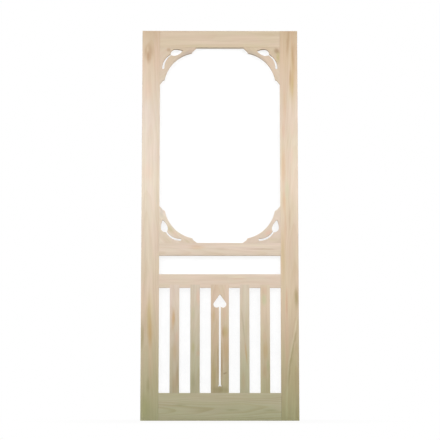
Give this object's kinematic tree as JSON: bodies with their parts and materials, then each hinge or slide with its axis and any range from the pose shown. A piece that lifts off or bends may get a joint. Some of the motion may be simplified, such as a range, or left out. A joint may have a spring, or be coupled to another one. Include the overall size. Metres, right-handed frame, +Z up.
{
  "type": "wooden screen door",
  "caption": "Unfinished pine screen door leaf with fretwork corner brackets, a wide upper opening, and slats with a cut-out spade below, with insect cloth held by a cord at the back",
  "frame": {"origin": "on the hinge edge at the foot of the door, at mid-thickness", "axes": "X from the hinge edge to the latch edge, the front faces -Y, Z up"},
  "size_m": [0.8128, 0.029, 2.032],
  "materials": {
    "stile_pine": "sanded, unfinished",
    "rail_pine": "sanded, unfinished",
    "bottom_rail_pine": "sanded, unfinished",
    "bracket_pine": "sanded, saw-cut edges",
    "slat_pine": "sanded, unfinished",
    "insect_cloth": "bright woven wire",
    "vinyl_cord": "soft vinyl"
  },
  "bodies": {
    "root": {"left_stile": "stile_pine", "right_stile": "stile_pine", "top_rail": "rail_pine", "lock_rail": "rail_pine", "picket_rail": "rail_pine", "bottom_rail": "bottom_rail_pine", "bracket_top_left": "bracket_pine", "bracket_top_right": "bracket_pine", "bracket_bottom_left": "bracket_pine", "bracket_bottom_right": "bracket_pine", "slat_far_left": "slat_pine", "slat_left": "slat_pine", "spade_slat": "slat_pine", "slat_right": "slat_pine", "slat_far_right": "slat_pine", "upper_screen": "insect_cloth", "lower_screen": "insect_cloth", "upper_spline_left": "vinyl_cord", "upper_spline_right": "vinyl_cord", "upper_spline_bottom": "vinyl_cord", "upper_spline_top": "vinyl_cord", "lower_spline_left": "vinyl_cord", "lower_spline_right": "vinyl_cord", "lower_spline_bottom": "vinyl_cord", "lower_spline_top": "vinyl_cord"}
  },
  "joints": []
}
